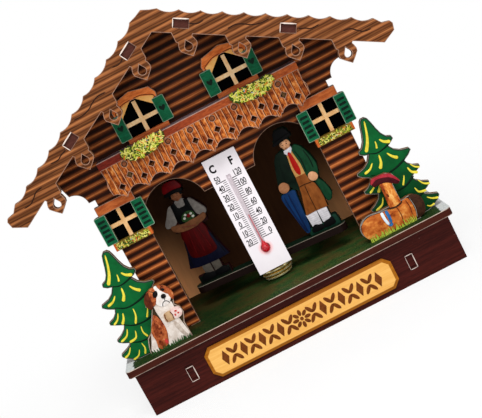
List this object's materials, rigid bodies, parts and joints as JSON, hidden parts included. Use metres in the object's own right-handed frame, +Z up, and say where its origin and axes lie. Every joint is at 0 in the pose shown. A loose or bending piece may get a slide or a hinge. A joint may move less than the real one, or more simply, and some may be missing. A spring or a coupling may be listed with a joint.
{
  "type": "wall weather station",
  "caption": "Plywood weather house with two figures on a gut-hung arm, a thermometer card in the doorway, a pierced balcony and a scalloped roof edge.",
  "frame": {"origin": "middle of the bounding box at the base's underside", "axes": "+X to the viewer's right, -Y the front, +Z up"},
  "size_m": [0.2084, 0.097, 0.1866],
  "materials": {
    "base_paint": "satin mahogany",
    "plain_ply": "bare plywood",
    "plaque_face": "satin print",
    "lawn_print": "satin print",
    "log_print": "satin print of logs",
    "roof_stain": "satin stain",
    "fascia_print": "satin print of boards",
    "pane_black": "satin black",
    "bar_wood": "satin print",
    "head_print": "satin print",
    "flower_print": "satin print of flowers",
    "shutter_green": "satin green",
    "sill_red": "satin print",
    "balcony_print": "satin print of boards",
    "rail_red": "satin print",
    "tree_print": "satin print",
    "dog_print": "satin print",
    "fountain_print": "satin print",
    "card_plastic": "white with a printed scale",
    "tube_glass": "clear",
    "liquid_red": "red liquid",
    "arm_print": "satin print",
    "man_print": "satin print",
    "woman_print": "satin print",
    "brass": "polished",
    "gut": "natural gut",
    "knob_wood": "turned beech"
  },
  "bodies": {
    "house": {"base_front_board": "base_paint", "base_back_board": "base_paint", "base_cross_left": "plain_ply", "base_cross_right": "plain_ply", "plaque": "plaque_face", "deck": "lawn_print", "front_wall": "log_print", "side_wall_left": "plain_ply", "side_wall_right": "plain_ply", "back_wall": "plain_ply", "attic_floor": "plain_ply", "roof_panel_left": "roof_stain", "roof_panel_right": "roof_stain", "roof_fascia": "fascia_print", "lower_pane_left": "pane_black", "lower_pane_right": "pane_black", "lower_bars_left": "bar_wood", "lower_bars_right": "bar_wood", "lower_head_left": "head_print", "lower_head_right": "head_print", "lower_flowers_left": "flower_print", "lower_flowers_right": "flower_print", "lower_shutter_left_outer": "shutter_green", "lower_shutter_left_inner": "shutter_green", "lower_shutter_right_inner": "shutter_green", "lower_shutter_right_outer": "shutter_green", "upper_pane_left": "pane_black", "upper_pane_right": "pane_black", "upper_bars_left": "bar_wood", "upper_bars_right": "bar_wood", "upper_head_left": "head_print", "upper_head_right": "head_print", "upper_sill_left": "sill_red", "upper_sill_right": "sill_red", "upper_shutter_left_outer": "shutter_green", "upper_shutter_left_inner": "shutter_green", "upper_shutter_right_inner": "shutter_green", "upper_shutter_right_outer": "shutter_green", "balcony_board": "balcony_print", "balcony_rail": "rail_red", "balcony_bracket_left": "plain_ply", "balcony_bracket_right": "plain_ply", "balcony_flowers_left": "flower_print", "balcony_flowers_right": "flower_print", "tree_left": "tree_print", "tree_right": "tree_print", "dog": "dog_print", "fountain": "fountain_print", "thermometer_card": "card_plastic", "thermometer_tube": "tube_glass", "thermometer_liquid": "liquid_red"},
    "figures": {"figure_arm": "arm_print", "man": "man_print", "woman": "woman_print", "arm_collar": "brass", "brass_weight": "brass", "gut_string": "gut"},
    "adjuster": {"adjuster_knob": "knob_wood"}
  },
  "joints": [
    {"name": "arm_turn", "type": "hinge", "parent": "house", "child": "figures", "pos_m": [0, -0.00065, 0.04], "axis": [0, 0, 1], "range_deg": [-16.4, 43.6], "stiffness_Nm_per_rad": 0.0002},
    {"name": "adjuster_turn", "type": "hinge", "parent": "house", "child": "adjuster", "pos_m": [0, -0.00065, 0.118], "axis": [0, 0, 1], "range_deg": [-90, 90]}
  ]
}
